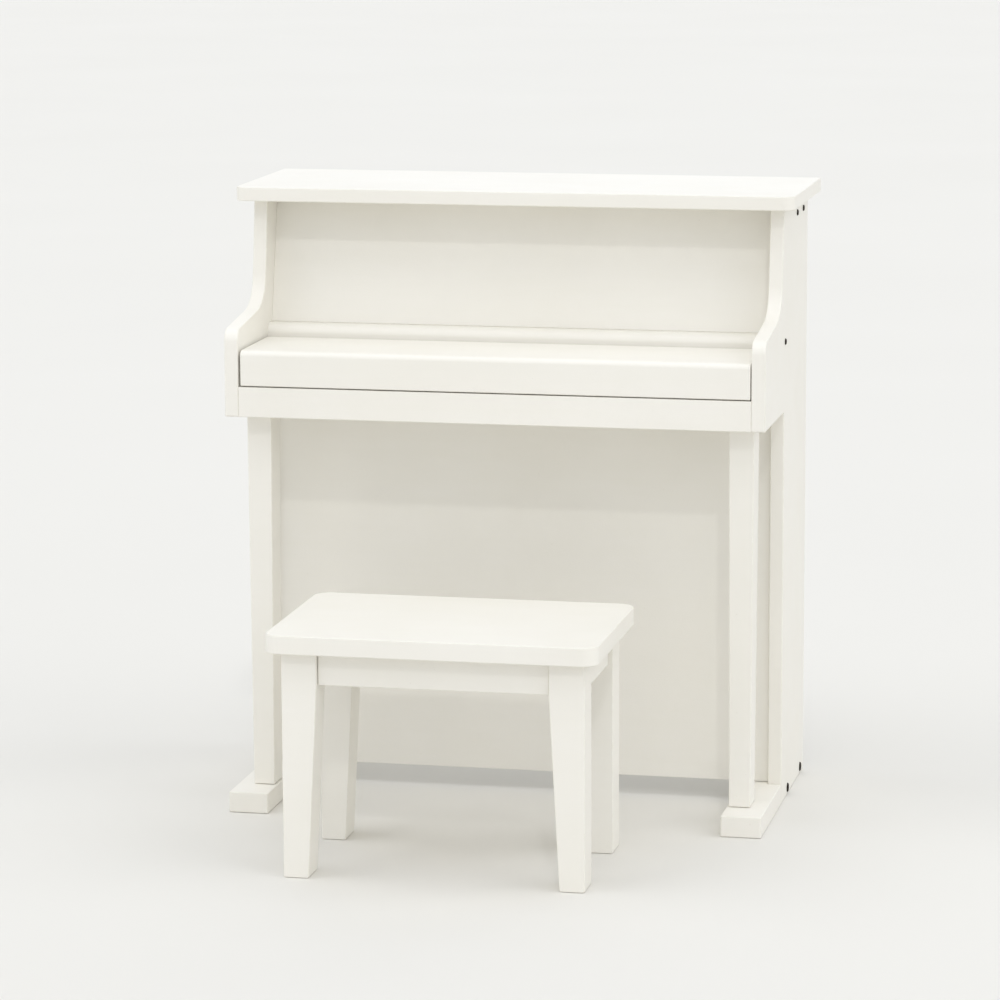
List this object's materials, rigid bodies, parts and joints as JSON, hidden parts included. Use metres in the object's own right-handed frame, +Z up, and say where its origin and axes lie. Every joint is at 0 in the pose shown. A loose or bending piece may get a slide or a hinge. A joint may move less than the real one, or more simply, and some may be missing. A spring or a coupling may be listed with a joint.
{
  "type": "toy upright piano",
  "caption": "Child's toy upright piano in white painted board, with a hinged key lid, sprung keys that strike tone rods, and a matching small bench.",
  "frame": {"origin": "on the floor, under the middle of the box that holds the piano and its bench", "axes": "+Z up, -Y the side where the player sits, +X to the player's right"},
  "size_m": [0.49, 0.464, 0.536],
  "materials": {
    "white_paint": "satin white paint on board",
    "bare_wood": "bare softwood",
    "white_plastic": "glossy moulded key cap",
    "black_plastic": "glossy moulded key cap",
    "felt": "woven felt strip",
    "steel": "drawn steel pin",
    "cast_iron": "cast bar with drawn steel rods"
  },
  "bodies": {
    "case": {"back_panel": "white_paint", "balance_rail": "bare_wood", "front_rest_strip": "felt", "key_rest_rail": "bare_wood", "key_slip": "white_paint", "keybed": "white_paint", "left_foot": "white_paint", "left_front_leg": "white_paint", "left_key_block": "white_paint", "left_lid_pin": "steel", "left_side_panel": "white_paint", "left_top_cleat": "bare_wood", "lid_ledge": "white_paint", "lower_front_panel": "white_paint", "right_foot": "white_paint", "right_front_leg": "white_paint", "right_key_block": "white_paint", "right_lid_pin": "steel", "right_side_panel": "white_paint", "right_top_cleat": "bare_wood", "tone_rod_bar": "cast_iron", "top_board": "white_paint", "upper_front_panel": "white_paint"},
    "key_lid": {"key_lid_top": "white_paint", "key_lid_front": "white_paint"},
    "bench": {"bench_front_apron": "white_paint", "bench_front_left_leg": "white_paint", "bench_front_right_leg": "white_paint", "bench_left_apron": "white_paint", "bench_rear_apron": "white_paint", "bench_rear_left_leg": "white_paint", "bench_rear_right_leg": "white_paint", "bench_right_apron": "white_paint", "bench_seat": "white_paint"},
    "key_c4": {"key_c4": "white_plastic"},
    "key_c_sharp4": {"key_c_sharp4": "black_plastic"},
    "key_d4": {"key_d4": "white_plastic"},
    "key_d_sharp4": {"key_d_sharp4": "black_plastic"},
    "key_e4": {"key_e4": "white_plastic"},
    "key_f4": {"key_f4": "white_plastic"},
    "key_f_sharp4": {"key_f_sharp4": "black_plastic"},
    "key_g4": {"key_g4": "white_plastic"},
    "key_g_sharp4": {"key_g_sharp4": "black_plastic"},
    "key_a4": {"key_a4": "white_plastic"},
    "key_a_sharp4": {"key_a_sharp4": "black_plastic"},
    "key_b4": {"key_b4": "white_plastic"},
    "key_c5": {"key_c5": "white_plastic"},
    "key_c_sharp5": {"key_c_sharp5": "black_plastic"},
    "key_d5": {"key_d5": "white_plastic"},
    "key_d_sharp5": {"key_d_sharp5": "black_plastic"},
    "key_e5": {"key_e5": "white_plastic"},
    "key_f5": {"key_f5": "white_plastic"},
    "key_f_sharp5": {"key_f_sharp5": "black_plastic"},
    "key_g5": {"key_g5": "white_plastic"},
    "key_g_sharp5": {"key_g_sharp5": "black_plastic"},
    "key_a5": {"key_a5": "white_plastic"},
    "key_a_sharp5": {"key_a_sharp5": "black_plastic"},
    "key_b5": {"key_b5": "white_plastic"},
    "key_c6": {"key_c6": "white_plastic"}
  },
  "joints": [
    {"name": "lid_hinge", "type": "hinge", "parent": "case", "child": "key_lid", "pos_m": [0, 0.073, 0.3985], "axis": [-1, 0, 0], "range_deg": [0, 98]},
    {"name": "bench_slide", "type": "slide", "parent": "case", "child": "bench", "axis": [0, -1, 0], "range_m": [-0.15, 0.2]},
    {"name": "key_c4_press", "type": "hinge", "parent": "case", "child": "key_c4", "pos_m": [0, 0.11, 0.368], "axis": [1, 0, 0], "range_deg": [0, 3], "stiffness_Nm_per_rad": 0.5, "springref_deg": -3.44},
    {"name": "key_c_sharp4_press", "type": "hinge", "parent": "case", "child": "key_c_sharp4", "pos_m": [0, 0.11, 0.368], "axis": [1, 0, 0], "range_deg": [0, 3], "stiffness_Nm_per_rad": 0.5, "springref_deg": -3.44},
    {"name": "key_d4_press", "type": "hinge", "parent": "case", "child": "key_d4", "pos_m": [0, 0.11, 0.368], "axis": [1, 0, 0], "range_deg": [0, 3], "stiffness_Nm_per_rad": 0.5, "springref_deg": -3.44},
    {"name": "key_d_sharp4_press", "type": "hinge", "parent": "case", "child": "key_d_sharp4", "pos_m": [0, 0.11, 0.368], "axis": [1, 0, 0], "range_deg": [0, 3], "stiffness_Nm_per_rad": 0.5, "springref_deg": -3.44},
    {"name": "key_e4_press", "type": "hinge", "parent": "case", "child": "key_e4", "pos_m": [0, 0.11, 0.368], "axis": [1, 0, 0], "range_deg": [0, 3], "stiffness_Nm_per_rad": 0.5, "springref_deg": -3.44},
    {"name": "key_f4_press", "type": "hinge", "parent": "case", "child": "key_f4", "pos_m": [0, 0.11, 0.368], "axis": [1, 0, 0], "range_deg": [0, 3], "stiffness_Nm_per_rad": 0.5, "springref_deg": -3.44},
    {"name": "key_f_sharp4_press", "type": "hinge", "parent": "case", "child": "key_f_sharp4", "pos_m": [0, 0.11, 0.368], "axis": [1, 0, 0], "range_deg": [0, 3], "stiffness_Nm_per_rad": 0.5, "springref_deg": -3.44},
    {"name": "key_g4_press", "type": "hinge", "parent": "case", "child": "key_g4", "pos_m": [0, 0.11, 0.368], "axis": [1, 0, 0], "range_deg": [0, 3], "stiffness_Nm_per_rad": 0.5, "springref_deg": -3.44},
    {"name": "key_g_sharp4_press", "type": "hinge", "parent": "case", "child": "key_g_sharp4", "pos_m": [0, 0.11, 0.368], "axis": [1, 0, 0], "range_deg": [0, 3], "stiffness_Nm_per_rad": 0.5, "springref_deg": -3.44},
    {"name": "key_a4_press", "type": "hinge", "parent": "case", "child": "key_a4", "pos_m": [0, 0.11, 0.368], "axis": [1, 0, 0], "range_deg": [0, 3], "stiffness_Nm_per_rad": 0.5, "springref_deg": -3.44},
    {"name": "key_a_sharp4_press", "type": "hinge", "parent": "case", "child": "key_a_sharp4", "pos_m": [0, 0.11, 0.368], "axis": [1, 0, 0], "range_deg": [0, 3], "stiffness_Nm_per_rad": 0.5, "springref_deg": -3.44},
    {"name": "key_b4_press", "type": "hinge", "parent": "case", "child": "key_b4", "pos_m": [0, 0.11, 0.368], "axis": [1, 0, 0], "range_deg": [0, 3], "stiffness_Nm_per_rad": 0.5, "springref_deg": -3.44},
    {"name": "key_c5_press", "type": "hinge", "parent": "case", "child": "key_c5", "pos_m": [0, 0.11, 0.368], "axis": [1, 0, 0], "range_deg": [0, 3], "stiffness_Nm_per_rad": 0.5, "springref_deg": -3.44},
    {"name": "key_c_sharp5_press", "type": "hinge", "parent": "case", "child": "key_c_sharp5", "pos_m": [0, 0.11, 0.368], "axis": [1, 0, 0], "range_deg": [0, 3], "stiffness_Nm_per_rad": 0.5, "springref_deg": -3.44},
    {"name": "key_d5_press", "type": "hinge", "parent": "case", "child": "key_d5", "pos_m": [0, 0.11, 0.368], "axis": [1, 0, 0], "range_deg": [0, 3], "stiffness_Nm_per_rad": 0.5, "springref_deg": -3.44},
    {"name": "key_d_sharp5_press", "type": "hinge", "parent": "case", "child": "key_d_sharp5", "pos_m": [0, 0.11, 0.368], "axis": [1, 0, 0], "range_deg": [0, 3], "stiffness_Nm_per_rad": 0.5, "springref_deg": -3.44},
    {"name": "key_e5_press", "type": "hinge", "parent": "case", "child": "key_e5", "pos_m": [0, 0.11, 0.368], "axis": [1, 0, 0], "range_deg": [0, 3], "stiffness_Nm_per_rad": 0.5, "springref_deg": -3.44},
    {"name": "key_f5_press", "type": "hinge", "parent": "case", "child": "key_f5", "pos_m": [0, 0.11, 0.368], "axis": [1, 0, 0], "range_deg": [0, 3], "stiffness_Nm_per_rad": 0.5, "springref_deg": -3.44},
    {"name": "key_f_sharp5_press", "type": "hinge", "parent": "case", "child": "key_f_sharp5", "pos_m": [0, 0.11, 0.368], "axis": [1, 0, 0], "range_deg": [0, 3], "stiffness_Nm_per_rad": 0.5, "springref_deg": -3.44},
    {"name": "key_g5_press", "type": "hinge", "parent": "case", "child": "key_g5", "pos_m": [0, 0.11, 0.368], "axis": [1, 0, 0], "range_deg": [0, 3], "stiffness_Nm_per_rad": 0.5, "springref_deg": -3.44},
    {"name": "key_g_sharp5_press", "type": "hinge", "parent": "case", "child": "key_g_sharp5", "pos_m": [0, 0.11, 0.368], "axis": [1, 0, 0], "range_deg": [0, 3], "stiffness_Nm_per_rad": 0.5, "springref_deg": -3.44},
    {"name": "key_a5_press", "type": "hinge", "parent": "case", "child": "key_a5", "pos_m": [0, 0.11, 0.368], "axis": [1, 0, 0], "range_deg": [0, 3], "stiffness_Nm_per_rad": 0.5, "springref_deg": -3.44},
    {"name": "key_a_sharp5_press", "type": "hinge", "parent": "case", "child": "key_a_sharp5", "pos_m": [0, 0.11, 0.368], "axis": [1, 0, 0], "range_deg": [0, 3], "stiffness_Nm_per_rad": 0.5, "springref_deg": -3.44},
    {"name": "key_b5_press", "type": "hinge", "parent": "case", "child": "key_b5", "pos_m": [0, 0.11, 0.368], "axis": [1, 0, 0], "range_deg": [0, 3], "stiffness_Nm_per_rad": 0.5, "springref_deg": -3.44},
    {"name": "key_c6_press", "type": "hinge", "parent": "case", "child": "key_c6", "pos_m": [0, 0.11, 0.368], "axis": [1, 0, 0], "range_deg": [0, 3], "stiffness_Nm_per_rad": 0.5, "springref_deg": -3.44}
  ]
}
